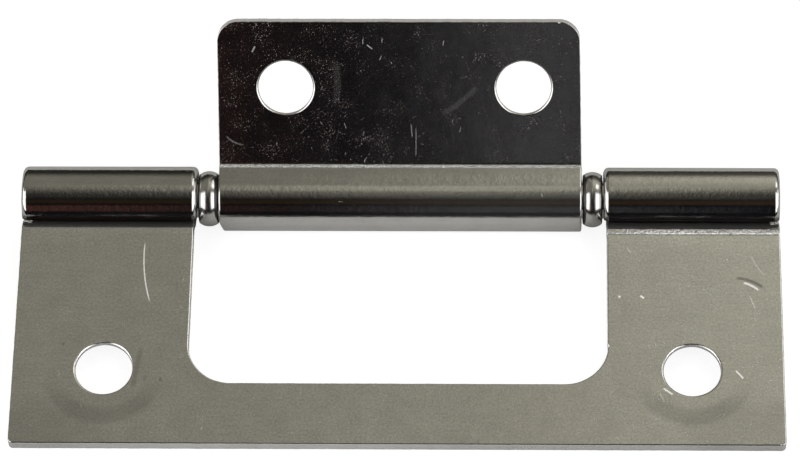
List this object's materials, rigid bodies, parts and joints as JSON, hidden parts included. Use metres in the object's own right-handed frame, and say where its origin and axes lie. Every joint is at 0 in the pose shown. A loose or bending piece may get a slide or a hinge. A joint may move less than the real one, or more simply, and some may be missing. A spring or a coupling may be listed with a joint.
{
  "type": "non-mortise hinge",
  "caption": "Non-mortise butt hinge of plated sheet steel: the small leaf folds into the window of the large leaf, both rolled round a plain pin with crowned rings between the knuckles.",
  "frame": {"origin": "midway between the two screw holes of the large outer leaf, on its mounting face", "axes": "+X along the hinge pin, +Z out of the outer leaf's mounting face, +Y from the screw holes towards the pin"},
  "size_m": [0.0636, 0.0341, 0.0146],
  "materials": {
    "outer_leaf": "nickel plate over rolled sheet, lightly scratched",
    "inner_leaf": "bright nickel plate with fine specks",
    "hinge_pin": "plated wire",
    "spacer_ring": "bright nickel plate, polished"
  },
  "bodies": {
    "outer_leaf": {"outer_leaf": "outer_leaf", "hinge_pin": "hinge_pin"},
    "inner_leaf": {"inner_leaf": "inner_leaf"},
    "ring_left": {"spacer_ring_left": "spacer_ring"},
    "ring_right": {"spacer_ring_right": "spacer_ring"}
  },
  "joints": [
    {"name": "leaf_swing", "type": "hinge", "parent": "outer_leaf", "child": "inner_leaf", "pos_m": [0, 0.0165, -0.00053], "axis": [1, 0, 0], "continuous": true},
    {"name": "ring_left_spin", "type": "hinge", "parent": "outer_leaf", "child": "ring_left", "pos_m": [-0.01613, 0.0165, -0.00053], "axis": [1, 0, 0], "continuous": true},
    {"name": "ring_right_spin", "type": "hinge", "parent": "outer_leaf", "child": "ring_right", "pos_m": [0.01613, 0.0165, -0.00053], "axis": [1, 0, 0], "continuous": true}
  ]
}
